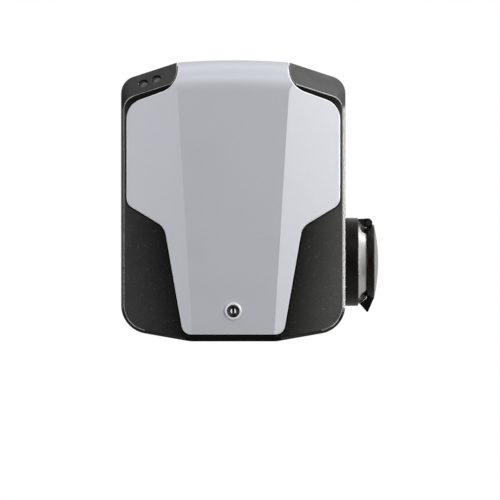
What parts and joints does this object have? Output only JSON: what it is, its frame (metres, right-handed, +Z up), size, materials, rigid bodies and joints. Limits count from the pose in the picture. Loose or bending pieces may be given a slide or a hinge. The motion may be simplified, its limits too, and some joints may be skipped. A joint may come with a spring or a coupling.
{
  "type": "ev wallbox",
  "caption": "Wall box for charging an electric car: black faceted housing, silver front shield on a top-hinged cover with key lock, lidded charging socket on the right side.",
  "frame": {"origin": "on the wall plane, in the middle of the four wall bolt holes", "axes": "+X to the right seen from the front, where the socket is; +Y into the wall; +Z up"},
  "size_m": [0.253, 0.1184, 0.2754],
  "materials": {
    "black_shell": "fine matt texture",
    "silver_shield": "satin silver lacquer",
    "silver_trim": "satin silver lacquer",
    "black_socket": "smooth satin",
    "lock_chrome": "polished",
    "lock_core": "darkened",
    "window": "smoked, clear",
    "rubber_black": "matt",
    "steel": "zinc plated",
    "black_steel": "blackened",
    "contact_metal": "silver plated",
    "device_grey": "matt",
    "device_dark": "matt",
    "device_blue": "satin",
    "button_yellow": "satin",
    "terminal_grey": "matt",
    "board_green": "solder mask",
    "guard_clear": "translucent white",
    "can_silver": "sleeved"
  },
  "bodies": {
    "base": {"rear_housing": "black_shell", "cover_seal": "rubber_black", "cover_hinge_pins": "steel", "supply_grommet": "rubber_black", "din_rail": "steel", "rail_screws": "steel", "rccb_body": "device_grey", "contactor": "device_grey", "supply_terminals": "terminal_grey", "control_board": "board_green", "board_screws": "steel", "board_relays": "device_dark", "board_transformer": "device_dark", "board_capacitors": "can_silver", "board_connectors": "board_green", "board_chip": "device_dark", "touch_guard": "guard_clear", "guard_screws": "steel", "flange_gasket": "rubber_black", "socket_flange": "black_socket", "socket_bezel": "silver_trim", "bezel_screws": "black_steel", "socket_insert": "black_socket", "socket_contacts": "contact_metal", "bolt_actuator": "device_dark", "lid_hinge_pin": "black_steel"},
    "cover": {"front_cover": "black_shell", "front_shield": "silver_shield", "led_lenses": "window", "led_board": "board_green", "lock_barrel": "lock_chrome", "lock_nut": "steel"},
    "lock": {"lock_plug": "lock_core", "lock_cam": "steel", "cam_screw": "steel"},
    "lid": {"socket_lid": "black_socket", "lid_seal": "rubber_black", "lid_dome": "silver_trim"},
    "lever": {"rccb_lever": "device_blue"},
    "button": {"test_button": "button_yellow"},
    "bolt": {"lock_bolt": "steel"}
  },
  "joints": [
    {"name": "cover_swing", "type": "hinge", "parent": "base", "child": "cover", "pos_m": [0, -0.029, 0.1308], "axis": [-1, 0, 0], "range_deg": [0, 95]},
    {"name": "lock_turn", "type": "hinge", "parent": "cover", "child": "lock", "pos_m": [0, -0.1, -0.1078], "axis": [0, -1, 0], "range_deg": [0, 90]},
    {"name": "lid_swing", "type": "hinge", "parent": "base", "child": "lid", "pos_m": [0.1332, -0.0449, -0.0224], "axis": [0, -1, 0], "range_deg": [0, 110], "stiffness_Nm_per_rad": 0.05, "springref_deg": -34.38},
    {"name": "breaker_toggle", "type": "hinge", "parent": "base", "child": "lever", "pos_m": [-0.06676, -0.066, 0.05735], "axis": [1, 0, 0], "range_deg": [0, 56]},
    {"name": "test_push", "type": "slide", "parent": "base", "child": "button", "axis": [0, 1, 0], "range_m": [0, 0.0015], "stiffness_N_per_m": 500},
    {"name": "plug_bolt", "type": "slide", "parent": "base", "child": "bolt", "axis": [0, 0, -1], "range_m": [0, 0.008]}
  ]
}
